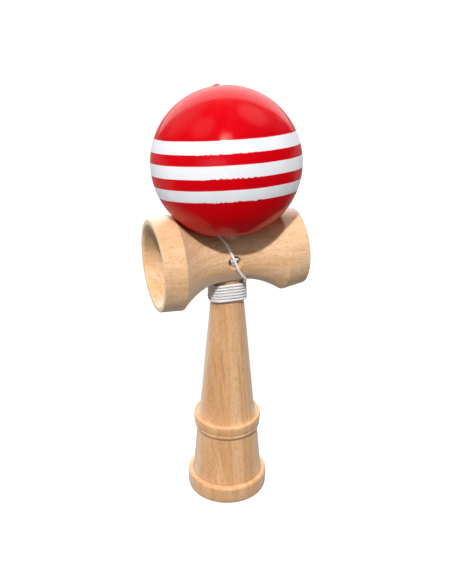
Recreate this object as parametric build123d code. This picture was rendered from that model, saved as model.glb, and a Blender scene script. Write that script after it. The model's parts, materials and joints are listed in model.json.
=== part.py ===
from build123d import *
import math
import os

# A kendama: a turned wooden cup-and-ball toy, standing on its base cup with the ball on its spike.
# Millimetres. +Z runs up the handle, X along the crosspiece, and -Y is the side of the cord's knot.
# The origin is the centre of the face it stands on.

# Driving dimensions
BALL_RADIUS = 30.0
CROSS_HEIGHT = 114.6        # axis of the crosspiece above the base
BIG_RIM_X = 31.5            # rim of the big cup, on the -X side
BIG_RIM_RADIUS = 19.0
SMALL_RIM_X = 30.5          # rim of the small cup, on the +X side
SMALL_RIM_RADIUS = 15.8
CORD_RADIUS = 0.6
FIT = 0.03                  # radial clearance of the crosspiece on the handle

# Crosspiece
BIG_RIDGE_X = 22.25
BIG_RIDGE_RADIUS = 19.6
SMALL_RIDGE_X = 21.1
SMALL_RIDGE_RADIUS = 17.1
WAIST_RADIUS = 10.55
WAIST_HALF = 3.6            # half of the straight length at the waist
RIM_WALL = 2.4
BIG_CUP_DEPTH = 9.5
SMALL_CUP_DEPTH = 8.0
RIM_ROUND = 0.7
RIDGE_ROUND = 0.8

# Handle
FLANGE_RADIUS = 17.5
FLANGE_HEIGHT = 8.45
BASE_CUP_RADIUS = 14.0
BASE_CUP_DEPTH = 5.5
RING_RADIUS = 14.6
RING_LOW = 31.8
RING_HIGH = 38.25
COLLAR_RADIUS = 14.3        # the small collar under the ring
COLLAR_HEIGHT = 1.4
NECK_LOW_RADIUS = 15.1      # the body just above the flange
NECK_HIGH_RADIUS = 13.15    # the body just under the collar
GRIP_LOW_RADIUS = 11.5
GRIP_LOW = 44.0
SEAT_LOW = 96.0             # the long taper under the crosspiece meets the grip here
SEAT_LOW_RADIUS = 6.87
SPIKE_BASE_RADIUS = 5.35
SPIKE_TIP_RADIUS = 3.1
SPIKE_LENGTH = 32.0
FOOT_INSET = 1.0            # the flange draws in below to the ring-shaped face it stands on
LIP_INSET = 0.9             # the flange rounds over at its top edge
GROOVE_DEPTH = 0.75         # the V groove between the flange and the body
GROOVE_WIDTH = 0.35
NOTCH_DEPTH = 0.35          # the notch between the collar and the ring
NOTCH_WIDTH = 1.2
CREST_INSET = 0.6           # the ring's crest, with a shallow gutter inside it
GUTTER_INSET = 1.3
GUTTER_DEPTH = 0.4

# Ball
BORE_RADIUS = 11.5
BORE_TOP = 16.0             # end of the bore, past the ball's centre
MOUTH_BEVEL = 1.5
CORD_HOLE_RADIUS = 1.2
CORD_HOLE_FLARE = 1.4
LEAN_BACK = 14.9            # the ball leans on the spike, degrees
LEAN_SIDE = 1.5
BALL_Y = 1.2
REST_GAP = 0.06
DRILL_POINT = 4.0           # length of the cone at the end of the bore

# Cord
HOLE_RISE = 1.4             # the cord hole lies above the crosspiece's axis
KNOT_HOLE_RADIUS = 2.5
KNOT_HOLE_FLARE = 0.65
BACK_HOLE_RADIUS = 1.3
COIL_PITCH = 1.3
COIL_TURNS = 6
COIL_START = 90.0           # degrees round the handle from +X
COIL_END = -32.0
COIL_END_HEIGHT = 103.1
COIL_SADDLE = 2.1           # the turns rise front and back, under the crosspiece's curve
COIL_GAP = 0.25             # between the coil and the handle
CORD_GAP = 0.1              # between the ends of two lengths of cord
CORD_REST = 0.25            # the cord lies this far off the crosspiece
OVER_BALL_REST = 0.15       # and this far off the ball
OVER_BALL_END = 148.0       # degrees down the ball's back, where the cord comes out from under it
OVER_BALL_START = 6.0       # degrees from the ball's top, where the cord turns into its hole
BEAD_RADIUS = 4.5
KNOT_RADIUS = 1.7
ANCHOR_KNOT = (2.2, 1.8, 2.2)
ANCHOR_KNOT_INSET = 2.0

spike_base = CROSS_HEIGHT + WAIST_RADIUS
spike_tip = spike_base + SPIKE_LENGTH
ball_axis = Vector(
    math.sin(math.radians(LEAN_SIDE)),
    math.sin(math.radians(LEAN_BACK)),
    math.sqrt(1 - math.sin(math.radians(LEAN_SIDE)) ** 2 - math.sin(math.radians(LEAN_BACK)) ** 2),
)


def cross_radius(x):
    """Outside radius of the crosspiece's flares at x, a parabola from waist to ridge."""
    ridge_x = BIG_RIDGE_X if x < 0 else SMALL_RIDGE_X
    ridge_radius = BIG_RIDGE_RADIUS if x < 0 else SMALL_RIDGE_RADIUS
    along = max(0.0, abs(x) - WAIST_HALF) / (ridge_x - WAIST_HALF)
    return WAIST_RADIUS + (ridge_radius - WAIST_RADIUS) * along ** 2


def ball_height():
    """Height of the ball's centre over the crosspiece's axis, where it rests in the flares."""
    mouth = BORE_RADIUS + MOUTH_BEVEL
    reach = 0.0
    steps = 200
    for i in range(steps + 1):
        x = -BIG_RIDGE_X + (BIG_RIDGE_X + SMALL_RIDGE_X) * i / steps
        if abs(x) > mouth:
            reach = max(reach, cross_radius(x) + math.sqrt(BALL_RADIUS ** 2 - x ** 2))
    return math.sqrt((reach + REST_GAP) ** 2 - BALL_Y ** 2)


ball_centre = Vector(0, BALL_Y, CROSS_HEIGHT + ball_height())
ball_plane = Plane(origin=ball_centre, x_dir=(1, 0, 0), z_dir=ball_axis)


def seat_radius(z):
    """Radius of the handle's long taper, from the grip through the crosspiece to the spike."""
    along = (z - SEAT_LOW) / (spike_base - SEAT_LOW)
    return SEAT_LOW_RADIUS + (SPIKE_BASE_RADIUS - SEAT_LOW_RADIUS) * along


def cap_middle(radius, depth):
    """Halfway along the section of a ball-shaped hollow: its distance off the axis, and its depth."""
    sphere_radius = (radius ** 2 + depth ** 2) / (2 * depth)
    half_angle = math.asin(radius / sphere_radius) / 2
    return sphere_radius * math.sin(half_angle), depth - sphere_radius * (1 - math.cos(half_angle))


def handle():
    foot = (FLANGE_RADIUS - FOOT_INSET, 0)
    flange_low = (FLANGE_RADIUS - 0.1 * FOOT_INSET, 2 * FOOT_INSET)
    flange_side = (FLANGE_RADIUS, FLANGE_HEIGHT - 2 * LIP_INSET)
    flange_lip = (FLANGE_RADIUS - LIP_INSET, FLANGE_HEIGHT - LIP_INSET / 3)
    groove_edge = (NECK_LOW_RADIUS + GROOVE_WIDTH, FLANGE_HEIGHT)
    groove = (NECK_LOW_RADIUS, FLANGE_HEIGHT - GROOVE_DEPTH)
    collar_low = (NECK_HIGH_RADIUS, RING_LOW)
    collar_high = (COLLAR_RADIUS, RING_LOW + COLLAR_HEIGHT)
    notch = (COLLAR_RADIUS - NOTCH_DEPTH, RING_LOW + COLLAR_HEIGHT + 0.6 * NOTCH_WIDTH)
    ring_low = (RING_RADIUS - 0.2, RING_LOW + COLLAR_HEIGHT + NOTCH_WIDTH)
    ring_side = (RING_RADIUS, RING_HIGH - 3 * CREST_INSET)
    crest = (RING_RADIUS - CREST_INSET, RING_HIGH)
    gutter = (RING_RADIUS - GUTTER_INSET, RING_HIGH - GUTTER_DEPTH)
    grip_low = (GRIP_LOW_RADIUS, GRIP_LOW)
    grip_high = (SEAT_LOW_RADIUS, SEAT_LOW)
    seat_high = (SPIKE_BASE_RADIUS, spike_base)
    tip_side = (SPIKE_TIP_RADIUS, spike_tip - SPIKE_TIP_RADIUS)
    tip_turn = (SPIKE_TIP_RADIUS * math.sqrt(0.5), spike_tip - SPIKE_TIP_RADIUS * (1 - math.sqrt(0.5)))
    cup_edge = (BASE_CUP_RADIUS, 0)
    cup_turn = cap_middle(BASE_CUP_RADIUS, BASE_CUP_DEPTH)
    outline = [
        ThreePointArc((0, BASE_CUP_DEPTH), cup_turn, cup_edge),
        Line(cup_edge, foot),
        Bezier(foot, (FLANGE_RADIUS - FOOT_INSET / 4, 0), flange_low),
        Line(flange_low, flange_side),
        Bezier(flange_side, (FLANGE_RADIUS, flange_lip[1]), flange_lip),
        Line(flange_lip, groove_edge),
        Line(groove_edge, groove),
        Line(groove, collar_low),
        Bezier(collar_low, (COLLAR_RADIUS - 0.1, RING_LOW + 0.1), collar_high),
        Line(collar_high, notch),
        Line(notch, ring_low),
        Line(ring_low, ring_side),
        Bezier(ring_side, (RING_RADIUS, RING_HIGH), crest),
        Line(crest, gutter),
        Bezier(gutter, (GRIP_LOW_RADIUS + 0.7, gutter[1] + 0.5), grip_low),
        Line(grip_low, grip_high),
        Line(grip_high, seat_high),
        Line(seat_high, tip_side),
        ThreePointArc(tip_side, tip_turn, (0, spike_tip)),
        Line((0, spike_tip), (0, BASE_CUP_DEPTH)),
    ]
    profile = Plane.XZ * make_face(outline)
    body = revolve(profile, Axis.Z)
    return body - cross_hole(BACK_HOLE_RADIUS, -WAIST_RADIUS, WAIST_RADIUS)


def cross_hole(radius, y_from, y_to):
    """A round hole along Y at the height of the cord."""
    plane = Plane(origin=(0, y_from, CROSS_HEIGHT + HOLE_RISE), z_dir=(0, 1, 0))
    return plane * Cylinder(radius, y_to - y_from, align=(Align.CENTER, Align.CENTER, Align.MIN))


def cup_outline(rim_x, rim_radius, depth, ridge, side):
    """Half the section of one cup, from the middle of its hollow over the rim to its ridge."""
    inner = rim_radius - RIM_WALL
    lip_in = (side * (rim_x - RIM_ROUND), inner)
    lip_face_in = (side * rim_x, inner + RIM_ROUND)
    lip_face_out = (side * rim_x, rim_radius - RIM_ROUND)
    lip_out = (side * (rim_x - RIM_ROUND), rim_radius)
    hollow_depth = depth - RIM_ROUND
    middle = (side * (rim_x - depth), 0)
    turn_radius, turn_depth = cap_middle(inner, hollow_depth)
    turn = (side * (rim_x - RIM_ROUND - turn_depth), turn_radius)
    return [
        ThreePointArc(middle, turn, lip_in),
        Bezier(lip_in, (side * rim_x, inner), lip_face_in),
        Line(lip_face_in, lip_face_out),
        Bezier(lip_face_out, (side * rim_x, rim_radius), lip_out),
        Line(lip_out, ridge),
    ]


def crosspiece():
    big_ridge = (-BIG_RIDGE_X, BIG_RIDGE_RADIUS)
    small_ridge = (SMALL_RIDGE_X, SMALL_RIDGE_RADIUS)
    big_cup = cup_outline(BIG_RIM_X, BIG_RIM_RADIUS, BIG_CUP_DEPTH, big_ridge, -1)
    small_cup = cup_outline(SMALL_RIM_X, SMALL_RIM_RADIUS, SMALL_CUP_DEPTH, small_ridge, 1)
    waist = [
        Bezier(big_ridge, (-(BIG_RIDGE_X + WAIST_HALF) / 2, WAIST_RADIUS), (-WAIST_HALF, WAIST_RADIUS)),
        Line((-WAIST_HALF, WAIST_RADIUS), (WAIST_HALF, WAIST_RADIUS)),
        Bezier((WAIST_HALF, WAIST_RADIUS), ((SMALL_RIDGE_X + WAIST_HALF) / 2, WAIST_RADIUS), small_ridge),
        Line((SMALL_RIM_X - SMALL_CUP_DEPTH, 0), (BIG_CUP_DEPTH - BIG_RIM_X, 0)),
    ]
    profile = Plane.XZ * make_face(big_cup + small_cup + waist)
    body = Pos(0, 0, CROSS_HEIGHT) * revolve(profile, Axis.X)
    ridges = [edge for edge in body.edges().filter_by(GeomType.CIRCLE)
              if abs(edge.radius - BIG_RIDGE_RADIUS) < 0.01 or abs(edge.radius - SMALL_RIDGE_RADIUS) < 0.01]
    body = fillet(ridges, RIDGE_ROUND)
    return body - seat_cutter() - knot_hole() - cross_hole(BACK_HOLE_RADIUS, 0, 2 * WAIST_RADIUS)


def seat_cutter():
    low = CROSS_HEIGHT - 2 * WAIST_RADIUS
    high = CROSS_HEIGHT + 2 * WAIST_RADIUS
    taper = Cone(seat_radius(low) + FIT, seat_radius(high) + FIT, high - low)
    return Pos(0, 0, CROSS_HEIGHT) * taper


def knot_hole():
    """The hole in the front wall that holds the cord's knot, flared at its mouth."""
    straight = cross_hole(KNOT_HOLE_RADIUS, -2 * WAIST_RADIUS, -1)
    mouth_y = -WAIST_RADIUS
    flare_length = 1.0
    flare = Cone(KNOT_HOLE_RADIUS + 2 * KNOT_HOLE_FLARE, KNOT_HOLE_RADIUS, 2 * flare_length)
    place = Plane(origin=(0, mouth_y, CROSS_HEIGHT + HOLE_RISE), z_dir=(0, 1, 0))
    return straight + place * flare


def ball():
    mouth = math.sqrt(BALL_RADIUS ** 2 - BORE_RADIUS ** 2)
    bore = Pos(0, 0, BORE_TOP) * Cylinder(
        BORE_RADIUS, 2 * BALL_RADIUS, align=(Align.CENTER, Align.CENTER, Align.MAX))
    bevel = Pos(0, 0, -mouth) * Cone(
        BORE_RADIUS + 2 * MOUTH_BEVEL, BORE_RADIUS, 2 * MOUTH_BEVEL)
    drill_end = Pos(0, 0, BORE_TOP) * Cone(
        BORE_RADIUS, CORD_HOLE_RADIUS, DRILL_POINT, align=(Align.CENTER, Align.CENTER, Align.MIN))
    cord_hole = Cylinder(CORD_HOLE_RADIUS, 2 * BALL_RADIUS, align=(Align.CENTER, Align.CENTER, Align.MIN))
    flare = Pos(0, 0, BALL_RADIUS) * Cone(
        CORD_HOLE_RADIUS, CORD_HOLE_RADIUS + 2 * CORD_HOLE_FLARE, 2 * CORD_HOLE_FLARE)
    return ball_plane * (Sphere(BALL_RADIUS) - bore - bevel - drill_end - cord_hole - flare)


def bead():
    """The bead inside the ball that keeps the cord from pulling out."""
    centre = BORE_TOP - BEAD_RADIUS - 0.1
    hole = Cylinder(CORD_RADIUS + 0.2, 4 * BEAD_RADIUS)
    return ball_plane * Pos(0, 0, centre) * (Sphere(BEAD_RADIUS) - hole)


def end_knot():
    """The knot under the bead."""
    centre = BORE_TOP - 2 * BEAD_RADIUS - KNOT_RADIUS - 0.2
    return ball_plane * Pos(0, 0, centre) * Sphere(KNOT_RADIUS)


def anchor_knot():
    """The knot seen in the crosspiece's front hole."""
    depth = WAIST_RADIUS - ANCHOR_KNOT_INSET
    return Pos(0, -depth, CROSS_HEIGHT + HOLE_RISE) * scale(Sphere(1), by=ANCHOR_KNOT)


def cord(points, tangents=None):
    """A length of cord along a smooth line through the points."""
    path = Spline(*points, tangents=tangents) if tangents else Spline(*points)
    section = Plane(origin=path @ 0, z_dir=path % 0) * Circle(CORD_RADIUS)
    return sweep(section, path=path)


def coil_point(degrees):
    """A point on the coil's centre line; the angle falls as the coil climbs."""
    theta = math.radians(degrees)
    climb = COIL_PITCH * (degrees - coil_last) / 360.0
    z = COIL_END_HEIGHT - climb + COIL_SADDLE * math.sin(theta) ** 2
    radius = seat_radius(z) + CORD_RADIUS + COIL_GAP
    return Vector(radius * math.cos(theta), radius * math.sin(theta), z)


def cord_coil():
    steps = 16 * COIL_TURNS
    turn = (coil_last - COIL_START) / steps
    return cord([coil_point(COIL_START + turn * i) for i in range(steps + 1)])


def round_cross(x, degrees, lift=0.0):
    """A point on the crosspiece's skin, raised by the cord; the angle climbs from the front."""
    theta = math.radians(degrees)
    radius = cross_radius(x) + CORD_RADIUS + CORD_REST + lift
    return Vector(x, -radius * math.cos(theta), CROSS_HEIGHT + radius * math.sin(theta))


def over_ball(degrees):
    """A point on the cord's path over the ball, by its angle from the ball's top."""
    phi = math.radians(degrees)
    radius = BALL_RADIUS + CORD_RADIUS + OVER_BALL_REST
    return ball_centre + ball_axis * (radius * math.cos(phi)) + ball_back * (radius * math.sin(phi))


def cord_lead():
    """From the anchor knot through the handle, out at the back and down to the coil's start."""
    hole_z = CROSS_HEIGHT + HOLE_RISE
    joint = coil_point(COIL_START)
    heading = (coil_point(COIL_START - 4) - joint).normalized()
    outside = joint.Y + 2 * CORD_RADIUS + 0.2
    inner_end = (0, -6.5, hole_z)
    back_mouth = (0, WAIST_RADIUS + 0.3, hole_z)
    hanging = [
        back_mouth,
        (-0.2, WAIST_RADIUS + 1.9, hole_z - 1.3),
        (-1.2, WAIST_RADIUS + 1.5, CROSS_HEIGHT - 4.0),
        (-2.4, WAIST_RADIUS - 0.5, CROSS_HEIGHT - 8.5),
        (-3.2, outside, joint.Z + 6.0),
        (-3.0, outside - 0.1, joint.Z + 2.6),
        (-1.7, joint.Y + 0.95, joint.Z + 0.65),
        joint - heading * CORD_GAP,
    ]
    path = Line(inner_end, back_mouth) + Spline(*hanging, tangents=[(0, 1, 0), tuple(heading)])
    section = Plane(origin=inner_end, z_dir=(0, 1, 0)) * Circle(CORD_RADIUS)
    return sweep(section, path=path)


def cord_riser():
    """From the coil's end over the front hole, past the spike and out under the ball's back."""
    joint = coil_point(coil_last)
    heading = (joint - coil_point(coil_last + 4)).normalized()
    points = [
        joint + heading * CORD_GAP,
        joint + heading * 0.8,
        round_cross(4.7, -40, 0.3),
        round_cross(1.6, -14, 0.1),
        round_cross(-0.13, 6),
        round_cross(-1.6, 30),
        round_cross(-2.75, 50),
        round_cross(-4.35, 66, 0.05),
        round_cross(-6.2, 88),
        round_cross(-5.5, 110),
        over_ball(OVER_BALL_END + 6),
        over_ball(OVER_BALL_END + 3),
        over_ball(OVER_BALL_END) + under_ball * CORD_GAP,
    ]
    return cord(points)


def cord_over_ball():
    steps = 14
    turn = (OVER_BALL_END - OVER_BALL_START) / steps
    points = [over_ball(OVER_BALL_END - turn * i) for i in range(steps + 1)]
    points.append(ball_centre + ball_axis * (BALL_RADIUS + 0.1) + ball_back * 1.0)
    points.append(ball_centre + ball_axis * (BALL_RADIUS - 1.4))
    return cord(points, tangents=[tuple(under_ball * -1), tuple(ball_axis * -1)])


def cord_in_ball():
    top = BALL_RADIUS - 1.45
    bottom = BORE_TOP - 2 * BEAD_RADIUS - 0.1
    inside = Pos(0, 0, bottom) * Cylinder(
        CORD_RADIUS, top - bottom, align=(Align.CENTER, Align.CENTER, Align.MIN))
    return ball_plane * inside


coil_last = COIL_END - 360.0 * COIL_TURNS
ball_back = (Vector(-0.1, 1, 0) - ball_axis * Vector(-0.1, 1, 0).dot(ball_axis)).normalized()
under_ball = (over_ball(OVER_BALL_END + 0.5) - over_ball(OVER_BALL_END)).normalized()

nodes = {
    "handle": handle,
    "crosspiece": crosspiece,
    "ball": ball,
    "inner_bead": bead,
    "end_knot": end_knot,
    "anchor_knot": anchor_knot,
    "cord_lead": cord_lead,
    "cord_coil": cord_coil,
    "cord_riser": cord_riser,
    "cord_over_ball": cord_over_ball,
    "cord_in_ball": cord_in_ball,
}

os.makedirs("parts", exist_ok=True)
for name, build in nodes.items():
    solid = build()
    export_step(solid, f"parts/{name}.step")
    print(name, round(solid.volume, 1), len(solid.solids()), solid.is_valid)
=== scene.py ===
import json
import math

import bmesh
import bpy
import numpy as np
from mathutils import Matrix, Vector
from mathutils.bvhtree import BVHTree


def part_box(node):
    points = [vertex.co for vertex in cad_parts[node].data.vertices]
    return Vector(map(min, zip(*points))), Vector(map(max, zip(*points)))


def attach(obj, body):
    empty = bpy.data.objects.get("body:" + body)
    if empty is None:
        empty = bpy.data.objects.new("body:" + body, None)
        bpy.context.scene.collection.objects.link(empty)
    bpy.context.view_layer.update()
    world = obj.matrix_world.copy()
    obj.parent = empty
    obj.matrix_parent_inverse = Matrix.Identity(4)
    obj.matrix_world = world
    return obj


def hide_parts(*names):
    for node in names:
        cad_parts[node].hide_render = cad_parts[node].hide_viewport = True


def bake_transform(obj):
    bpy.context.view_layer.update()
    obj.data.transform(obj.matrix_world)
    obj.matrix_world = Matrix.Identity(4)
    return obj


# A wooden kendama: a turned handle and crosspiece, a lacquered ball on the spike and a white braided
# cord. Everything is in metres in the frame's own axes: +Z up the handle, X along the crosspiece,
# -Y the front.

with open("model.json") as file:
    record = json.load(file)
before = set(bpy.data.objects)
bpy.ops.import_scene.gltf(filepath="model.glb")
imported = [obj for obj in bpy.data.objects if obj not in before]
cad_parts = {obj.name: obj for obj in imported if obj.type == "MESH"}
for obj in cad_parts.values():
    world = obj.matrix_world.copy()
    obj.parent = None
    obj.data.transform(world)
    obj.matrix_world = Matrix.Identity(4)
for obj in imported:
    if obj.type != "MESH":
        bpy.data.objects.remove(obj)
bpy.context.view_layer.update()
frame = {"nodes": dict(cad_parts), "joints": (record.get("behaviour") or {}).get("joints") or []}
MM = 0.001

# ---------------------------------------------------------------- places read from the frame

joints = {joint["name"]: joint for joint in frame["joints"]}
BALL_CENTRE = Vector(joints["ball_spin"]["pos_m"])
BALL_AXIS = Vector(joints["ball_spin"]["axis"]).normalized()
ball_low, ball_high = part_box("ball")
cross_low, cross_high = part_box("crosspiece")
BALL_RADIUS = (ball_high.x - ball_low.x) / 2
CROSS_HEIGHT = (cross_low.z + cross_high.z) / 2
CROSS_REACH = max(-cross_low.x, cross_high.x)

# The cord and its holes, as they are in the CAD
CORD_RADIUS = 0.6 * MM
HOLE_HEIGHT = CROSS_HEIGHT + 1.4 * MM
KNOT_HOLE_RADIUS = 2.5 * MM
KNOT_HOLE_MOUTH = 3.15 * MM
BACK_HOLE_RADIUS = 1.3 * MM
COIL_PITCH = 1.3 * MM
COIL_TURNS = 6
COIL_START = 90.0               # degrees from +X; the coil starts at the back of the handle
COIL_END = -32.0 - 360.0 * COIL_TURNS
COIL_END_HEIGHT = 103.1 * MM
COIL_SADDLE = 2.1 * MM          # how far the coil rises at front and back
COIL_GAP = 0.25 * MM            # between the coil and the handle
CROSS_GAP = 0.25 * MM           # between the cord and the crosspiece
BALL_GAP = 0.15 * MM            # between the cord and the ball
OVER_BALL_START = 6.0           # degrees from the ball's top
OVER_BALL_END = 148.0
CORD_DIP = 1.4 * MM             # depth in the ball's bore where the cord's outer length ends

# How finely shapes are read and made
TOUCHING = 1e-7                 # closer than this is on the axis, or on the cutting plane
SAME_POINT = 1e-6               # closer than this is one and the same corner
SNAP = 0.12 * MM                # a point of a section this near to a corner of the CAD moves onto it
LONGEST_LOOP = 20000            # points; a stop for a cut that never closes
PROFILE_TOLERANCE = 0.006 * MM
SHARP_EDGE = 28.0               # degrees; flatter edges are shaded smooth
SEAT_REACH = 9 * MM             # the handle's taper is read this far above and below the crosspiece
FIT = 0.03 * MM                 # between the handle and the crosspiece's hole


# ---------------------------------------------------------------- reading shapes off the CAD

def tree_of(node):
    mesh = frame["nodes"][node].data
    points = [v.co for v in mesh.vertices]
    faces = [tuple(p.vertices) for p in mesh.polygons]
    return BVHTree.FromPolygons(points, faces)


def true_corners(mesh, origin, axis):
    """The corners of a turned piece's CAD mesh as points (distance off axis, height)."""
    along = np.array(axis)
    corners = np.array([tuple(Vector(v.co) - origin) for v in mesh.vertices])
    heights = corners @ along
    distances = np.linalg.norm(corners - heights[:, None] * along, axis=1)
    return np.stack([distances, heights], axis=1)


def cut_loops(source, origin, normal):
    """The lines where a plane cuts a mesh, each as its vertices' places in order."""
    mesh = bmesh.new()
    mesh.from_mesh(source)
    bmesh.ops.remove_doubles(mesh, verts=mesh.verts, dist=SAME_POINT)
    geometry = mesh.verts[:] + mesh.edges[:] + mesh.faces[:]
    result = bmesh.ops.bisect_plane(mesh, geom=geometry, plane_co=origin, plane_no=normal, dist=TOUCHING)
    links = {}
    for edge in result["geom_cut"]:
        if isinstance(edge, bmesh.types.BMEdge):
            for a, b in (edge.verts[:], (edge.verts[1], edge.verts[0])):
                links.setdefault(a, []).append(b)
    loops = []
    while links:
        start = next(iter(links))
        loop, here, last = [start], start, None
        while len(loop) < LONGEST_LOOP:
            onward = [v for v in links[here] if v is not last]
            if not onward or onward[0] is start:
                break
            last, here = here, onward[0]
            loop.append(here)
        for vertex in loop:
            links.pop(vertex, None)
        loops.append([vertex.co.copy() for vertex in loop])
    mesh.free()
    return loops


def runs_outside(loop):
    """The stretches of a closed line of (distance, height) points that lie on the positive side."""
    inside = [i for i, point in enumerate(loop) if point[0] < TOUCHING]
    if inside:
        loop = loop[inside[0]:] + loop[:inside[0]]
    runs, run = [], []
    for point in loop + [(-1.0, 0.0)]:
        if point[0] > TOUCHING:
            run.append(point)
        elif run:
            runs.append(run)
            run = []
    return runs


def section(node, origin, axis, out):
    """Half the section of a turned piece through its axis: a line of (distance off axis, height)."""
    source = frame["nodes"][node].data
    runs = []
    for loop in cut_loops(source, origin, axis.cross(out)):
        runs += runs_outside([((co - origin).dot(out), (co - origin).dot(axis)) for co in loop])
    outline = max(runs, key=lambda run: max(point[0] for point in run))
    corners = true_corners(source, origin, axis)
    snapped = []
    for point in outline:
        gap = np.hypot(*(corners - point).T)
        nearest = int(gap.argmin())
        chosen = tuple(corners[nearest]) if gap[nearest] < SNAP else point
        if not snapped or math.dist(chosen, snapped[-1]) > SAME_POINT:
            snapped.append(chosen)
    return snapped


def turned_radius(tree, height):
    """The largest radius at a height of a piece turned round Z, by rays from eight sides."""
    centre = Vector((0, 0, height))
    far = 100 * MM
    best = 0.0
    for i in range(8):
        turn = math.radians(45 * i + 20)
        out = Vector((math.cos(turn), math.sin(turn), 0))
        hit = tree.ray_cast(centre + out * far, -out)[0]
        if hit is not None:
            best = max(best, (hit - centre).length)
    return best


def thin(points, tolerance):
    """Drops the points of a polyline that lie on the line between their neighbours."""
    points = np.array(points)
    keep = np.zeros(len(points), bool)
    keep[0] = keep[-1] = True
    stack = [(0, len(points) - 1)]
    while stack:
        a, b = stack.pop()
        if b <= a + 1:
            continue
        line = points[b] - points[a]
        offset = points[a + 1:b] - points[a]
        length = np.hypot(*line) + 1e-12
        gap = np.abs(offset[:, 0] * line[1] - offset[:, 1] * line[0]) / length
        worst = int(gap.argmax())
        if gap[worst] > tolerance:
            middle = a + 1 + worst
            keep[middle] = True
            stack += [(a, middle), (middle, b)]
    return points[keep]


# ---------------------------------------------------------------- making meshes

def new_object(name, vertices, faces, sharp_edge=SHARP_EDGE):
    mesh = bpy.data.meshes.new(name)
    mesh.from_pydata([tuple(v) for v in vertices], [], faces)
    mesh.validate()
    for polygon in mesh.polygons:
        polygon.use_smooth = True
    mesh.set_sharp_from_angle(angle=math.radians(sharp_edge))
    obj = bpy.data.objects.new(name, mesh)
    bpy.context.scene.collection.objects.link(obj)
    return obj


def subdivide_profile(profile, longest):
    """Adds points so that no step of the profile is longer than a given length."""
    out = [profile[0]]
    for a, b in zip(profile[:-1], profile[1:]):
        steps = max(1, math.ceil(np.hypot(*(b - a)) / longest))
        out += [a + (b - a) * i / steps for i in range(1, steps + 1)]
    return np.array(out)


def lathe(name, profile, origin, axis, segments=144):
    """A closed turned body from (radius, height) points. A profile that starts off the axis is closed
    from its last point to its first."""
    x_dir = axis.orthogonal().normalized()
    y_dir = axis.cross(x_dir)
    vertices, rings, faces = [], [], []
    for radius, height in profile:
        centre = origin + axis * height
        if radius < TOUCHING:
            rings.append([len(vertices)])
            vertices.append(centre)
            continue
        rings.append(list(range(len(vertices), len(vertices) + segments)))
        for i in range(segments):
            turn = 2 * math.pi * i / segments
            out = x_dir * (radius * math.cos(turn)) + y_dir * (radius * math.sin(turn))
            vertices.append(centre + out)
    pairs = list(zip(rings[:-1], rings[1:]))
    if len(rings[0]) > 1:
        pairs.append((rings[-1], rings[0]))
    for low, high in pairs:
        for i in range(segments):
            j = (i + 1) % segments
            if len(low) == 1:
                faces.append((low[0], high[j], high[i]))
            elif len(high) == 1:
                faces.append((low[i], low[j], high[0]))
            else:
                faces.append((low[i], low[j], high[j], high[i]))
    return new_object(name, vertices, faces)


def face_outwards(obj):
    """Turns the faces so that they all look outwards."""
    mesh = bmesh.new()
    mesh.from_mesh(obj.data)
    bmesh.ops.recalc_face_normals(mesh, faces=mesh.faces)
    mesh.to_mesh(obj.data)
    mesh.free()
    obj.data.set_sharp_from_angle(angle=math.radians(SHARP_EDGE))


def cut(obj, *cutters):
    """Cuts holes with closed cutter meshes, which are then thrown away."""
    for cutter in cutters:
        face_outwards(cutter)
        modifier = obj.modifiers.new("cut", "BOOLEAN")
        modifier.operation = "DIFFERENCE"
        modifier.solver = "EXACT"
        modifier.object = cutter
        bpy.context.view_layer.update()
        evaluated = obj.evaluated_get(bpy.context.evaluated_depsgraph_get())
        mesh = bpy.data.meshes.new_from_object(evaluated)
        obj.modifiers.clear()
        obj.data = mesh
        bpy.data.objects.remove(cutter)
    obj.data.set_sharp_from_angle(angle=math.radians(SHARP_EDGE))


def smooth_line(points, step):
    """A natural cubic spline through the points, sampled at even steps."""
    p = np.array([tuple(v) for v in points], float)
    t = np.concatenate([[0], np.cumsum(np.linalg.norm(np.diff(p, axis=0), axis=1))])
    n = len(p)
    h = np.diff(t)
    a = np.zeros((n, n))
    rhs = np.zeros((n, 3))
    a[0, 0] = a[-1, -1] = 1
    for i in range(1, n - 1):
        a[i, i - 1] = h[i - 1]
        a[i, i] = 2 * (h[i - 1] + h[i])
        a[i, i + 1] = h[i]
        rhs[i] = 6 * ((p[i + 1] - p[i]) / h[i] - (p[i] - p[i - 1]) / h[i - 1])
    m = np.linalg.solve(a, rhs)
    s = np.linspace(0, t[-1], max(8, int(t[-1] / step)))
    k = np.clip(np.searchsorted(t, s, side="right") - 1, 0, n - 2)
    u, w, hk = (s - t[k])[:, None], (t[k + 1] - s)[:, None], h[k][:, None]
    return (m[k] * w ** 3 + m[k + 1] * u ** 3) / (6 * hk) + \
        (p[k] / hk - m[k] * hk / 6) * w + (p[k + 1] / hk - m[k + 1] * hk / 6) * u


def frames_along(line):
    """Tangent and two cross directions at every point of a line, with no twist."""
    tangent = np.gradient(line, axis=0)
    tangent /= np.linalg.norm(tangent, axis=1)[:, None]
    side = np.zeros_like(line)
    first = np.cross(tangent[0], [0, 0, 1.0])
    if np.linalg.norm(first) < 0.1:
        first = np.cross(tangent[0], [1.0, 0, 0])
    side[0] = first / np.linalg.norm(first)
    for i in range(1, len(line)):
        v = side[i - 1] - tangent[i] * side[i - 1].dot(tangent[i])
        side[i] = v / np.linalg.norm(v)
    return tangent, side, np.cross(tangent, side)


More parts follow.
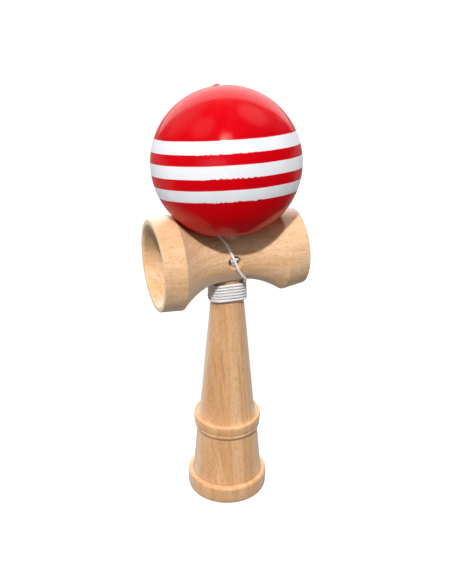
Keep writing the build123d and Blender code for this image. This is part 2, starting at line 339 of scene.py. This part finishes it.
def tube(centre, side, up, half_wide, half_thick, sides):
    """Rings of an oval tube round a line, closed at both ends: vertices and faces."""
    turn = np.linspace(0, 2 * math.pi, sides, endpoint=False)
    ring = side[:, None, :] * (half_wide * np.cos(turn))[None, :, None] + \
        up[:, None, :] * (half_thick * np.sin(turn))[None, :, None]
    vertices = (centre[:, None, :] + ring).reshape(-1, 3)
    count = len(centre)
    faces = []
    for i in range(count - 1):
        for j in range(sides):
            k = (j + 1) % sides
            faces.append((i * sides + j, i * sides + k, (i + 1) * sides + k, (i + 1) * sides + j))
    faces.append(tuple(range(sides - 1, -1, -1)))
    faces.append(tuple((count - 1) * sides + j for j in range(sides)))
    return vertices, faces


BRAID_STRANDS = 4           # each way round
BRAID_LAY = 4.6 * MM        # length of one turn of a strand
STRAND_WIDE = 0.235 * MM
STRAND_THICK = 0.125 * MM
BRAID_WAVE = 0.075 * MM


def braided_cord(name, points, body, step=0.17 * MM):
    """A round braided cord: strands wind both ways and pass over and under each other."""
    line = smooth_line(points, step)
    tangent, side, up = frames_along(line)
    length = np.concatenate([[0], np.cumsum(np.linalg.norm(np.diff(line, axis=0), axis=1))])
    phase = 2 * math.pi * length / BRAID_LAY
    middle = CORD_RADIUS - STRAND_THICK - BRAID_WAVE
    vertices, faces, offset = [], [], 0
    for way in (1, -1):
        for strand in range(BRAID_STRANDS):
            angle = way * phase + strand * 2 * math.pi / BRAID_STRANDS
            out = side * np.cos(angle)[:, None] + up * np.sin(angle)[:, None]
            reach = middle + way * BRAID_WAVE * np.cos(BRAID_STRANDS * phase)
            centre = line + out * reach[:, None]
            along = np.gradient(centre, axis=0)
            along /= np.linalg.norm(along, axis=1)[:, None]
            across = np.cross(along, out)
            across /= np.linalg.norm(across, axis=1)[:, None]
            v, f = tube(centre, across, out, STRAND_WIDE, STRAND_THICK, 6)
            vertices.append(v)
            faces += [tuple(i + offset for i in face) for face in f]
            offset += len(v)
    core, core_faces = tube(line[::4], side[::4], up[::4], middle, middle, 10)
    vertices.append(core)
    faces += [tuple(i + offset for i in face) for face in core_faces]
    obj = new_object(name, np.concatenate(vertices), faces, sharp_edge=80.0)
    obj.data.materials.append(cord_material)
    if body:
        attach(obj, body)
    return obj


def overhand_knot(name, centre, axis, size, body):
    """A tight overhand knot in the braided cord, laid flat across an axis."""
    x_dir = axis.orthogonal().normalized()
    y_dir = axis.cross(x_dir)
    points = []
    steps = 96
    for i in range(steps - 1):      # short of a whole turn, so that the two ends do not meet
        t = 2 * math.pi * i / steps
        across = math.sin(t) + 2 * math.sin(2 * t)
        along = math.cos(t) - 2 * math.cos(2 * t)
        depth = -math.sin(3 * t)
        flat = (x_dir * across + y_dir * along) * (size / 3)
        points.append(centre + flat + axis * (depth * size * 0.42))
    return braided_cord(name, points, body, step=0.14 * MM)


# ---------------------------------------------------------------- materials

def new_material(name):
    material = bpy.data.materials.new(name)
    material.use_nodes = True
    tree = material.node_tree
    return material, tree, tree.nodes["Principled BSDF"]


def add(tree, kind, **settings):
    node = tree.nodes.new(kind)
    for key, value in settings.items():
        setattr(node, key, value)
    return node


def math_node(tree, operation, a, b=None):
    node = add(tree, "ShaderNodeMath", operation=operation)
    for i, value in enumerate((a, b)):
        if value is None:
            continue
        if isinstance(value, (int, float)):
            node.inputs[i].default_value = value
        else:
            tree.links.new(value, node.inputs[i])
    return node.outputs[0]


def ramp(tree, value, low, high, out_low=0.0, out_high=1.0):
    """Smooth step of a value between two limits."""
    node = add(tree, "ShaderNodeMapRange", interpolation_type="SMOOTHSTEP")
    tree.links.new(value, node.inputs["Value"])
    node.inputs["From Min"].default_value = low
    node.inputs["From Max"].default_value = high
    node.inputs["To Min"].default_value = out_low
    node.inputs["To Max"].default_value = out_high
    return node.outputs["Result"]


def mix_colour(tree, factor, a, b):
    node = add(tree, "ShaderNodeMix", data_type="RGBA", blend_type="MIX", clamp_factor=True)
    for socket, value in zip((node.inputs[0], node.inputs[6], node.inputs[7]), (factor, a, b)):
        if isinstance(value, (int, float)):
            socket.default_value = value
        elif isinstance(value, tuple):
            socket.default_value = (*value, 1.0)
        else:
            tree.links.new(value, socket)
    return node.outputs[2]


def overlay(tree, colour, tone, value, low, high, most=1.0):
    """Lays a tone over a colour: none of it where the value is low, the most where it is high."""
    return mix_colour(tree, ramp(tree, value, low, high, 0.0, most), colour, tone)


def coordinates(tree, scale, angles=(0, 0, 0)):
    """Object coordinates in metres, turned and then stretched."""
    place = add(tree, "ShaderNodeTexCoord").outputs["Object"]
    turn = add(tree, "ShaderNodeMapping", vector_type="TEXTURE")
    turn.inputs["Rotation"].default_value = [math.radians(a) for a in angles]
    tree.links.new(place, turn.inputs["Vector"])
    stretch = add(tree, "ShaderNodeMapping")
    stretch.inputs["Scale"].default_value = scale
    tree.links.new(turn.outputs[0], stretch.inputs["Vector"])
    return stretch.outputs[0]


def noise(tree, vector, scale=1.0, detail=4.0, rough=0.55, distortion=0.0):
    node = add(tree, "ShaderNodeTexNoise")
    tree.links.new(vector, node.inputs["Vector"])
    node.inputs["Scale"].default_value = scale
    node.inputs["Detail"].default_value = detail
    node.inputs["Roughness"].default_value = rough
    node.inputs["Distortion"].default_value = distortion
    return node.outputs["Fac"]


def bump(tree, height, distance, strength=1.0, normal=None):
    node = add(tree, "ShaderNodeBump")
    node.inputs["Distance"].default_value = distance
    node.inputs["Strength"].default_value = strength
    tree.links.new(height, node.inputs["Height"])
    if normal is not None:
        tree.links.new(normal, node.inputs["Normal"])
    return node.outputs["Normal"]


def cup_painted_shade(tree):
    """Painted shade in the hollows of the crosspiece's cups, where the rims shade the inside, most of all
    at the top.
    """
    normal = add(tree, "ShaderNodeSeparateXYZ")
    tree.links.new(add(tree, "ShaderNodeTexCoord").outputs["Normal"], normal.inputs[0])
    place = add(tree, "ShaderNodeSeparateXYZ")
    tree.links.new(add(tree, "ShaderNodeTexCoord").outputs["Object"], place.inputs[0])
    side = math_node(tree, "SIGN", place.outputs["X"])
    inward = ramp(tree, math_node(tree, "MULTIPLY", side, normal.outputs["X"]), 0.3, 0.55)
    depth = math_node(tree, "ABSOLUTE", place.outputs["X"])
    hollow = ramp(tree, depth, CROSS_REACH - 0.4 * MM, CROSS_REACH - 1.4 * MM)
    # painted shade grows towards the top of the hollow, where the rim's shadow falls
    upper = ramp(tree, place.outputs["Z"], CROSS_HEIGHT - 9 * MM, CROSS_HEIGHT + 8 * MM, 0.0, 0.72)
    return math_node(tree, "MULTIPLY", math_node(tree, "MULTIPLY", inward, hollow), upper)


# painted shade inside the cups, under their rims
CUP_PAINTED_SHADE = (0.20, 0.115, 0.055)
WOOD_RIM_LIGHT = (0.90, 0.71, 0.54)       # painted rim light: the wood made paler where it is seen at a glancing angle


def wood(name, angles, pale, warm, dark, seed, cups=False):
    """Pale close-grained turned wood. The grain runs along local Z after the turn by angles."""
    material, tree, shader = new_material(name)
    figure = noise(tree, coordinates(tree, (260, 60, 9), angles), 1.0, 3.0, 0.5, 0.6 + seed * 0.004)
    lines = noise(tree, coordinates(tree, (1100, 320, 12), angles), 1.0, 5.0, 0.65, 0.3)
    fibres = noise(tree, coordinates(tree, (3000, 3000, 260), angles), 1.0, 3.0, 0.7)
    flecks = noise(tree, coordinates(tree, (2300, 1500, 420), angles), 1.0, 2.0, 0.6)
    pores = noise(tree, coordinates(tree, (3600, 3600, 900), angles), 1.0, 1.0, 0.5)
    cloud = noise(tree, coordinates(tree, (45, 45, 25), angles), 1.0, 3.0, 0.5)
    # pointiness: high on worn convex edges, low in grooves and concave corners
    edge_wear_and_crease_shade = add(tree, "ShaderNodeNewGeometry").outputs["Pointiness"]
    facing = add(tree, "ShaderNodeLayerWeight")
    facing.inputs["Blend"].default_value = 0.5

    colour = overlay(tree, pale, warm, figure, 0.35, 0.65)
    colour = overlay(tree, colour, dark, lines, 0.48, 0.72, 0.42)
    colour = overlay(tree, colour, dark, fibres, 0.48, 0.70, 0.34)
    colour = overlay(tree, colour, dark, flecks, 0.58, 0.68, 0.42)
    colour = overlay(tree, colour, dark, pores, 0.62, 0.72, 0.45)
    colour = overlay(tree, colour, warm, cloud, 0.3, 0.8, 0.22)
    # paler on worn, burnished convex edges
    colour = overlay(tree, colour, pale, edge_wear_and_crease_shade, 0.53, 0.62, 0.35)
    # painted shade: darker in grooves and concave corners, where shade falls
    colour = overlay(tree, colour, dark, edge_wear_and_crease_shade, 0.47, 0.38, 0.6)
    if cups:
        # painted shade: the upper insides of the cups darkened as if shaded by their rims
        colour = mix_colour(tree, cup_painted_shade(tree), colour, CUP_PAINTED_SHADE)
    # painted rim light: paler towards the outline, where the surface is seen at a glancing angle
    colour = overlay(tree, colour, WOOD_RIM_LIGHT, facing.outputs["Facing"], 0.30, 0.92, 0.85)
    tree.links.new(colour, shader.inputs["Base Color"])
    tree.links.new(ramp(tree, lines, 0.3, 0.8, 0.34, 0.50), shader.inputs["Roughness"])
    shader.inputs["Specular IOR Level"].default_value = 0.45
    normal = bump(tree, fibres, 0.04 * MM, 0.5)
    normal = bump(tree, flecks, 0.05 * MM, 0.35, normal)
    tree.links.new(normal, shader.inputs["Normal"])
    return material


BANDS = [(11.23, 6.37), (2.14, -2.79), (-7.12, -11.71)]    # white bands, mm along the ball's axis
RED = (0.58, 0.001, 0.0045)
RED_DEEP = (0.52, 0.001, 0.006)
WHITE = (0.77, 0.785, 0.815)
WHITE_DULL = (0.73, 0.75, 0.79)
RED_SPRAY = (0.75, 0.35, 0.38)      # fine red specks that fell on the white


def scaled(tree, value, middle, factor):
    """(value - middle) * factor."""
    return math_node(tree, "MULTIPLY", math_node(tree, "SUBTRACT", value, middle), factor)


def band_mask(tree, place, height):
    """1 on the white bands. Their upper edges are clean and their lower edges ragged."""
    split = add(tree, "ShaderNodeSeparateXYZ")
    tree.links.new(place, split.inputs[0])
    sideways = math_node(tree, "ABSOLUTE", math_node(tree, "ADD", split.outputs["X"], 7 * MM))
    raggedness = ramp(tree, sideways, 8 * MM, 14 * MM, 0.8 * MM, 0.05 * MM)
    ragged = scaled(tree, noise(tree, place, 900, 3.0, 0.7), 0.5, raggedness)
    wander = scaled(tree, noise(tree, place, 60, 1.0, 0.5), 0.5, 0.35 * MM)
    low_height = math_node(tree, "ADD", height, math_node(tree, "MULTIPLY", ragged, 2.2))
    low_height = math_node(tree, "ADD", low_height, wander)
    high_height = math_node(tree, "ADD", height, wander)
    edge = 0.06 * MM
    mask = None
    for high, low in BANDS:
        above = ramp(tree, low_height, low * MM - edge, low * MM + edge)
        below = ramp(tree, high_height, high * MM + edge, high * MM - edge)
        band = math_node(tree, "MULTIPLY", above, below)
        mask = band if mask is None else math_node(tree, "MAXIMUM", mask, band)
    return mask


def lacquer():
    """Red lacquer with three sprayed white bands under a clear coat."""
    material, tree, shader = new_material("ball_lacquer")
    centred = add(tree, "ShaderNodeVectorMath", operation="SUBTRACT")
    tree.links.new(add(tree, "ShaderNodeTexCoord").outputs["Object"], centred.inputs[0])
    centred.inputs[1].default_value = BALL_CENTRE
    place = centred.outputs[0]
    along = add(tree, "ShaderNodeVectorMath", operation="DOT_PRODUCT")
    tree.links.new(place, along.inputs[0])
    along.inputs[1].default_value = BALL_AXIS
    height = along.outputs["Value"]
    mask = band_mask(tree, place, height)

    red = overlay(tree, RED, RED_DEEP, noise(tree, place, 55, 3.0), 0.3, 0.7)
    white = overlay(tree, WHITE, WHITE_DULL, noise(tree, place, 90, 3.0), 0.3, 0.7)
    white = overlay(tree, white, RED_SPRAY, noise(tree, place, 1500, 1.0, 0.5), 0.66, 0.74, 0.2)
    tree.links.new(mix_colour(tree, mask, red, white), shader.inputs["Base Color"])

    shader.inputs["Roughness"].default_value = 0.5
    shader.inputs["Specular IOR Level"].default_value = 0.0
    shader.inputs["Coat Weight"].default_value = 0.5
    shader.inputs["Coat IOR"].default_value = 1.5
    haze = noise(tree, place, 120, 3.0, 0.6)
    tree.links.new(ramp(tree, haze, 0.3, 0.8, 0.015, 0.045), shader.inputs["Coat Roughness"])

    turned = add(tree, "ShaderNodeTexNoise", noise_dimensions="1D")     # the lathe's faint rings
    tree.links.new(math_node(tree, "MULTIPLY", height, 900), turned.inputs["W"])
    turned.inputs["Detail"].default_value = 2.0
    nibs = noise(tree, place, 2600, 2.0, 0.6)       # specks of dust under the coat
    swell = noise(tree, place, 160, 2.0, 0.5)
    normal = bump(tree, turned.outputs["Fac"], 0.016 * MM, 0.5)
    normal = bump(tree, swell, 0.03 * MM, 0.35, normal)
    coat = bump(tree, ramp(tree, nibs, 0.54, 0.72), 0.05 * MM, 0.8, normal)
    step = bump(tree, mask, 0.03 * MM, 0.6, normal)
    tree.links.new(step, shader.inputs["Normal"])
    tree.links.new(coat, shader.inputs["Coat Normal"])
    return material


CORD_WHITE = (0.86, 0.85, 0.86)
CORD_SOILED = (0.74, 0.72, 0.73)
CORD_SHADE = (0.55, 0.53, 0.54)     # between the fibres


def cord_fabric():
    """White braided cord, a little soiled."""
    material, tree, shader = new_material("cord_fabric")
    place = coordinates(tree, (1, 1, 1))
    fibre = noise(tree, place, 6000, 2.0, 0.6)
    colour = overlay(tree, CORD_WHITE, CORD_SOILED, noise(tree, place, 220, 3.0, 0.6), 0.35, 0.75)
    colour = overlay(tree, colour, CORD_SHADE, fibre, 0.5, 0.8, 0.25)
    tree.links.new(colour, shader.inputs["Base Color"])
    shader.inputs["Roughness"].default_value = 0.75
    shader.inputs["Specular IOR Level"].default_value = 0.25
    shader.inputs["Sheen Weight"].default_value = 0.25
    shader.inputs["Sheen Roughness"].default_value = 0.5
    shader.inputs["Subsurface Weight"].default_value = 0.15
    shader.inputs["Subsurface Radius"].default_value = (0.6 * MM, 0.5 * MM, 0.5 * MM)
    shader.inputs["Subsurface Scale"].default_value = 1.0
    tree.links.new(bump(tree, fibre, 0.03 * MM, 0.5), shader.inputs["Normal"])
    return material


handle_wood = wood(
    "handle_wood", angles=(0, 0, 25), seed=1,
    pale=(0.76, 0.465, 0.255), warm=(0.63, 0.345, 0.16), dark=(0.30, 0.135, 0.05))
crosspiece_wood = wood(
    "crosspiece_wood", angles=(0, 90, 35), seed=2, cups=True,
    pale=(0.84, 0.56, 0.345), warm=(0.72, 0.43, 0.225), dark=(0.34, 0.165, 0.07))
bead_wood = wood(
    "bead_wood", angles=(15, 15, 0), seed=3,
    pale=(0.72, 0.50, 0.31), warm=(0.60, 0.36, 0.19), dark=(0.34, 0.18, 0.09))
ball_lacquer = lacquer()
cord_material = cord_fabric()


# ---------------------------------------------------------------- the turned pieces

UP = Vector((0, 0, 1))
BACK = Vector((0, 1, 0))
ALONG_CROSS = Vector((1, 0, 0))
CROSS_CENTRE = Vector((0, 0, CROSS_HEIGHT))

handle_tree = tree_of("handle")
cross_tree = tree_of("crosspiece")


def seat_radius(z):
    """Radius at a height of the handle's taper, where the crosspiece and the coil sit."""
    low, high = CROSS_HEIGHT - SEAT_REACH, CROSS_HEIGHT + SEAT_REACH
    at_low = turned_radius(handle_tree, low)
    at_high = turned_radius(handle_tree, high)
    return at_low + (at_high - at_low) * (z - low) / (high - low)


def finish_turned(obj, material, slot, body, *nodes):
    """Gives a piece its material and body, and takes the CAD nodes' places. The slot is not used."""
    obj.data.materials.clear()
    obj.data.materials.append(material)
    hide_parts(*nodes)
    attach(obj, body)


def cylinder_cutter(centre, axis, radius, length, end_radius=None):
    """A closed cone or cylinder along an axis from a centre."""
    end = radius if end_radius is None else end_radius
    profile = np.array([(0, 0), (radius, 0), (end, length), (0, length)])
    return lathe("cutter", profile, centre, axis, 96)


def lathe_section(name, half, origin, axis, longest, segments=144):
    """A solid turned body from half its section, with no step of the profile above a length."""
    if half[0][1] > half[-1][1]:
        half.reverse()
    profile = thin([(0.0, half[0][1])] + half + [(0.0, half[-1][1])], PROFILE_TOLERANCE)
    obj = lathe(name, subdivide_profile(profile, longest), origin, axis, segments)
    face_outwards(obj)
    return obj


def build_handle():
    half = section("handle", Vector(), UP, ALONG_CROSS)
    obj = lathe_section("handle_turned", half, Vector(), UP, 1.5 * MM)
    reach = 10.6 * MM
    cut(obj, cylinder_cutter(Vector((0, -reach, HOLE_HEIGHT)), BACK, BACK_HOLE_RADIUS, 2 * reach))
    finish_turned(obj, handle_wood, "handle_wood", "handle_set", "handle")


def build_crosspiece():
    """Builds the crosspiece and returns the radius of its waist, where the cord's holes are."""
    tilt = math.radians(10)      # the section misses the cord's holes
    half = section("crosspiece", CROSS_CENTRE, ALONG_CROSS, Vector((0, math.cos(tilt), -math.sin(tilt))))
    obj = lathe_section("crosspiece_turned", half, CROSS_CENTRE, ALONG_CROSS, 0.9 * MM, 176)
    waist = min(radius for radius, x in half if abs(x) < 5 * MM)

    reach = 30 * MM
    low, high = CROSS_HEIGHT - reach, CROSS_HEIGHT + reach
    seat = cylinder_cutter(Vector((0, 0, low)), UP,
                           seat_radius(low) + FIT, 2 * reach, seat_radius(high) + FIT)
    knot = cylinder_cutter(Vector((0, -2 * waist, HOLE_HEIGHT)), BACK, KNOT_HOLE_RADIUS, 2 * waist - MM)
    slant = KNOT_HOLE_MOUTH - KNOT_HOLE_RADIUS      # over one millimetre of depth
    flare = cylinder_cutter(Vector((0, -waist - MM, HOLE_HEIGHT)), BACK,
                            KNOT_HOLE_MOUTH + slant, 2 * MM, KNOT_HOLE_RADIUS)
    back = cylinder_cutter(Vector((0, 0, HOLE_HEIGHT)), BACK, BACK_HOLE_RADIUS, 2 * waist)
    cut(obj, seat, knot, flare, back)
    finish_turned(obj, crosspiece_wood, "crosspiece_wood", "handle_set", "crosspiece")
    return waist


def arc(radius, start, end, steps):
    """Points (distance off axis, height) of an arc; the angles are from the top, in radians."""
    turns = [start + (end - start) * i / steps for i in range(steps + 1)]
    return [(radius * math.sin(turn), radius * math.cos(turn)) for turn in turns]


def build_ball():
    half = section("ball", BALL_CENTRE, BALL_AXIS, BALL_AXIS.orthogonal().normalized())
    inside = [point for point in half if math.hypot(*point) < BALL_RADIUS - 0.02 * MM]
    inside.sort(key=lambda point: (point[1], -point[0]))
    mouth_edge = min((p for p in half if p[1] < 0 and p[0] > 5 * MM), key=lambda p: p[1])
    top_edge = max(half, key=lambda p: p[1])
    top = math.atan2(top_edge[0], top_edge[1])
    mouth = math.pi - math.atan2(mouth_edge[0], -mouth_edge[1])
    bore = subdivide_profile(thin(inside, PROFILE_TOLERANCE), 2 * MM)
    profile = list(map(tuple, bore)) + arc(BALL_RADIUS, top, mouth, 140)
    obj = lathe("ball_turned", profile, BALL_CENTRE, BALL_AXIS, 224)
    face_outwards(obj)
    finish_turned(obj, ball_lacquer, "ball_paint", "ball", "ball")


def build_bead():
    """Builds the bead inside the ball and returns its centre and radius."""
    low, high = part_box("inner_bead")
    centre = (low + high) / 2
    radius = (high.x - low.x) / 2
    hole = CORD_RADIUS + 0.2 * MM
    start = math.asin(hole / radius)
    profile = arc(radius, start, math.pi - start, 48)
    profile += [(hole, -radius * math.cos(start) * k) for k in (0.95, 0, -0.95)]
    obj = lathe("bead_turned", profile, centre, BALL_AXIS, 96)
    face_outwards(obj)
    finish_turned(obj, bead_wood, "bead", "bead", "inner_bead")
    return centre, radius


build_handle()
WAIST_RADIUS = build_crosspiece()
build_ball()
BEAD_CENTRE, BEAD_RADIUS = build_bead()


# ---------------------------------------------------------------- the cord

SEAT_AT_COIL = seat_radius(COIL_END_HEIGHT)
SEAT_SLOPE = (seat_radius(COIL_END_HEIGHT + MM) - SEAT_AT_COIL) / MM


def coil_point(degrees):
    """A point on the coil's centre line; the angle falls as the coil climbs."""
    theta = math.radians(degrees)
    climb = COIL_PITCH * (degrees - COIL_END) / 360.0
    z = COIL_END_HEIGHT - climb + COIL_SADDLE * math.sin(theta) ** 2
    radius = SEAT_AT_COIL + SEAT_SLOPE * (z - COIL_END_HEIGHT) + CORD_RADIUS + COIL_GAP
    return Vector((radius * math.cos(theta), radius * math.sin(theta), z))


def cross_radius(x):
    """Outside radius of the crosspiece at x, read beside the handle."""
    middle = Vector((x, 0, CROSS_HEIGHT))
    out = Vector((0, 0.85, -0.53)).normalized()
    hit = cross_tree.ray_cast(middle + out * 50 * MM, -out)[0]
    return (hit - middle).length


def round_cross(x, degrees, lift=0.0):
    """A point of the cord on the crosspiece; x and lift are in mm, the angle climbs from the front."""
    theta = math.radians(degrees)
    radius = cross_radius(x * MM) + CORD_RADIUS + CROSS_GAP + lift * MM
    return Vector((x * MM, -radius * math.cos(theta), CROSS_HEIGHT + radius * math.sin(theta)))


back_of_ball = Vector((-0.1, 1, 0))
back_of_ball = (back_of_ball - BALL_AXIS * back_of_ball.dot(BALL_AXIS)).normalized()


def over_ball(degrees):
    """A point on the cord's path over the ball, by its angle from the ball's top."""
    phi = math.radians(degrees)
    radius = BALL_RADIUS + CORD_RADIUS + BALL_GAP
    return BALL_CENTRE + BALL_AXIS * (radius * math.cos(phi)) + back_of_ball * (radius * math.sin(phi))


def lead_points():
    """From the knot through the handle and out at the back, then down to the start of the coil."""
    joint = coil_point(COIL_START)
    outside = joint.y + 2 * CORD_RADIUS + 0.2 * MM      # clear of the coil's turns
    hole_z, waist = HOLE_HEIGHT, WAIST_RADIUS
    points = [Vector((0, y * MM, hole_z)) for y in (-6.5, -3, 0.5, 4, 7.5)]
    points += [
        Vector((0, waist + 0.3 * MM, hole_z)),
        Vector((-0.2 * MM, waist + 1.9 * MM, hole_z - 1.3 * MM)),
        Vector((-1.2 * MM, waist + 1.5 * MM, CROSS_HEIGHT - 4.0 * MM)),
        Vector((-2.4 * MM, waist - 0.5 * MM, CROSS_HEIGHT - 8.5 * MM)),
        Vector((-3.2 * MM, outside, joint.z + 6.0 * MM)),
        Vector((-3.0 * MM, outside - 0.1 * MM, joint.z + 2.6 * MM)),
        Vector((-1.7 * MM, joint.y + 0.95 * MM, joint.z + 0.65 * MM)),
        joint,
    ]
    return points


def coil_points():
    steps = 24 * COIL_TURNS
    turn = (COIL_END - COIL_START) / steps
    return [coil_point(COIL_START + turn * i) for i in range(steps + 1)]


LEAVES_CROSS = (-5.5, 110)      # where the riser leaves the crosspiece: x in mm, degrees


def riser_points():
    """From the end of the coil up over the front of the crosspiece and on to the back of the ball."""
    joint = coil_point(COIL_END)
    heading = (joint - coil_point(COIL_END + 4)).normalized()
    return [
        joint,
        joint + heading * 0.8 * MM,
        round_cross(4.7, -40, 0.3),
        round_cross(1.6, -14, 0.1),
        round_cross(-0.13, 6),
        round_cross(-1.6, 30),
        round_cross(-2.75, 50),
        round_cross(-4.35, 66, 0.05),
        round_cross(-6.2, 88),
        round_cross(*LEAVES_CROSS),
        over_ball(OVER_BALL_END + 6),
        over_ball(OVER_BALL_END + 3),
        over_ball(OVER_BALL_END),
    ]


def over_ball_points():
    """Up the back of the ball and into its top hole."""
    steps = 14
    turn = (OVER_BALL_END - OVER_BALL_START) / steps
    points = [over_ball(OVER_BALL_END - i * turn) for i in range(steps + 1)]
    points.append(BALL_CENTRE + BALL_AXIS * (BALL_RADIUS + 0.1 * MM) + back_of_ball * MM)
    points.append(BALL_CENTRE + BALL_AXIS * (BALL_RADIUS - CORD_DIP))
    return points


def in_ball_points():
    """Straight down the ball's bore and through the bead."""
    top = BALL_CENTRE + BALL_AXIS * (BALL_RADIUS - CORD_DIP)
    bottom = BEAD_CENTRE - BALL_AXIS * (BEAD_RADIUS + 0.4 * MM)
    steps = 6
    return [top + (bottom - top) * i / steps for i in range(steps + 1)]


anchor_low, anchor_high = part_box("anchor_knot")
end_low, end_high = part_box("end_knot")

lead = braided_cord("cord_lead_braid", lead_points(), "handle_set")
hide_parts("cord_lead")
coil = braided_cord("cord_coil_braid", coil_points(), "handle_set")
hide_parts("cord_coil")
over = braided_cord("cord_over_ball_braid", over_ball_points(), "cord_end")
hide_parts("cord_over_ball")
inner = braided_cord("cord_in_ball_braid", in_ball_points(), "cord_end")
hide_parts("cord_in_ball")
riser = braided_cord("cord_riser_braid", riser_points(), None)
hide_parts("cord_riser")
round_cross(*LEAVES_CROSS)
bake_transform(riser)
anchor = overhand_knot("anchor_knot_tied", (anchor_low + anchor_high) / 2, -BACK, 1.5 * MM, "handle_set")
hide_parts("anchor_knot")
end = overhand_knot("end_knot_tied", (end_low + end_high) / 2, -BALL_AXIS, 1.15 * MM, "cord_end")
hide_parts("end_knot")


# ---------------------------------------------------------------- floor, world, lights, camera

def direction(azimuth, elevation):
    """A unit vector; azimuth 0 is the front (-Y), growing towards +X."""
    a, e = math.radians(azimuth), math.radians(elevation)
    return Vector((math.sin(a) * math.cos(e), -math.cos(a) * math.cos(e), math.sin(e)))


SOFT_LIGHTS = [
    # azimuth, elevation, radius, softness, strength
    (163, 12, 38, 7, 2.5),      # white backdrop
    (102, 56, 15, 12, 1.5),     # right softbox
    (-95, 58, 13, 14, 1.0),     # left softbox
    (-142, 36, 18, 18, 0.6),    # left, behind
    (-20, 56, 7, 9, 9.0),       # round the key light
]
FILL = 0.10                     # the room's soft light
FILL_MIRRORED = 0.0             # the same as the lacquer mirrors it
SIDE_FILL = 0.95                # the white walls left and right; they light the dull surfaces only
BACKGROUND_SEEN = 1.0           # plain white for the camera


def studio_world():
    """A white room for the camera, lit by soft lights that the lacquer mirrors."""
    world = bpy.data.worlds.new("studio")
    bpy.context.scene.world = world
    world.use_nodes = True
    tree = world.node_tree
    tree.nodes.clear()
    towards = add(tree, "ShaderNodeTexCoord").outputs["Generated"]
    path = add(tree, "ShaderNodeLightPath")
    mirrored = path.outputs["Is Glossy Ray"]
    total = ramp(tree, mirrored, 0.0, 1.0, FILL, FILL_MIRRORED)
    split = add(tree, "ShaderNodeSeparateXYZ")
    tree.links.new(towards, split.inputs[0])
    sideways = ramp(tree, math_node(tree, "ABSOLUTE", split.outputs["X"]), 0.45, 0.9, 0.0, SIDE_FILL)
    not_mirrored = math_node(tree, "SUBTRACT", 1.0, mirrored)
    total = math_node(tree, "ADD", total, math_node(tree, "MULTIPLY", sideways, not_mirrored))
    for azimuth, elevation, radius, soft, strength in SOFT_LIGHTS:
        dot = add(tree, "ShaderNodeVectorMath", operation="DOT_PRODUCT")
        tree.links.new(towards, dot.inputs[0])
        dot.inputs[1].default_value = direction(azimuth, elevation)
        inner = math.cos(math.radians(radius - soft / 2))
        outer = math.cos(math.radians(radius + soft / 2))
        glow = ramp(tree, dot.outputs["Value"], outer, inner, 0.0, strength)
        total = math_node(tree, "ADD", total, glow)
    strength = add(tree, "ShaderNodeMix")
    tree.links.new(path.outputs["Is Camera Ray"], strength.inputs[0])
    tree.links.new(total, strength.inputs[2])
    strength.inputs[3].default_value = BACKGROUND_SEEN
    background = add(tree, "ShaderNodeBackground")
    background.inputs["Color"].default_value = (1, 1, 1, 1)
    tree.links.new(strength.outputs[0], background.inputs["Strength"])
    output = add(tree, "ShaderNodeOutputWorld")
    tree.links.new(background.outputs[0], output.inputs["Surface"])


def studio_floor():
    """A plain floor that is white to the camera. The object mirrors it dark in front and brighter
    behind, and is lit by it dimly."""
    size = 3.0
    z = -0.1 * MM       # just below the foot
    corners = [(-size, -size, z), (size, -size, z), (size, size, z), (-size, size, z)]
    floor = new_object("floor", corners, [(0, 1, 2, 3)])
    material, tree, shader = new_material("floor")
    path = add(tree, "ShaderNodeLightPath")
    split = add(tree, "ShaderNodeSeparateXYZ")
    tree.links.new(add(tree, "ShaderNodeNewGeometry").outputs["Position"], split.inputs[0])
    behind = ramp(tree, split.outputs["Y"], 0.03, 0.12)
    mirrored = mix_colour(tree, behind, (0.01, 0.01, 0.01), (0.30, 0.30, 0.30))
    seen = mix_colour(tree, path.outputs["Is Glossy Ray"], (0.22, 0.22, 0.23), mirrored)
    tree.links.new(seen, shader.inputs["Base Color"])
    shader.inputs["Roughness"].default_value = 0.9
    shader.inputs["Specular IOR Level"].default_value = 0.0
    camera_glow = 0.85
    glow = math_node(tree, "MULTIPLY", path.outputs["Is Camera Ray"], camera_glow)
    tree.links.new(glow, shader.inputs["Emission Strength"])
    shader.inputs["Emission Color"].default_value = (1, 1, 1, 1)
    floor.data.materials.append(material)


def key_light():
    """The one hard light, from the upper left."""
    lamp = bpy.data.lights.new("key", "SUN")
    lamp.energy = 3.0
    lamp.angle = math.radians(2.6)
    lamp.color = (1.0, 0.985, 0.96)
    obj = bpy.data.objects.new("key", lamp)
    bpy.context.scene.collection.objects.link(obj)
    obj.rotation_mode = "QUATERNION"
    obj.rotation_quaternion = direction(-25, 52).to_track_quat("Z", "Y")


def photo_camera():
    """The camera: angles in degrees, places in metres. It stands a little to the left of its aim."""
    azimuth, elevation, roll = -18.504, 28.024, 0.04
    distance = 0.453
    sideways = -0.000506
    aim = Vector((0, 0, 0.097498))
    back = direction(azimuth, elevation)
    right = Vector((math.cos(math.radians(azimuth)), math.sin(math.radians(azimuth)), 0))
    camera = bpy.data.cameras.new("photo")
    camera.sensor_width = 36
    camera.sensor_height = 36
    camera.sensor_fit = "AUTO"
    camera.lens = 66.99
    camera.clip_start = 0.01
    obj = bpy.data.objects.new("photo", camera)
    bpy.context.scene.collection.objects.link(obj)
    obj.location = aim + back * distance + right * sideways
    up = back.cross(right)
    turn = Matrix((right, up, back)).transposed() @ Matrix.Rotation(math.radians(roll), 3, "Z")
    obj.rotation_mode = "QUATERNION"
    obj.rotation_quaternion = turn.to_quaternion()
    bpy.context.scene.camera = obj


studio_world()
studio_floor()
key_light()
photo_camera()
view = bpy.context.scene.view_settings
view.view_transform = "Standard"
view.look = "None"
view.exposure = 0.0
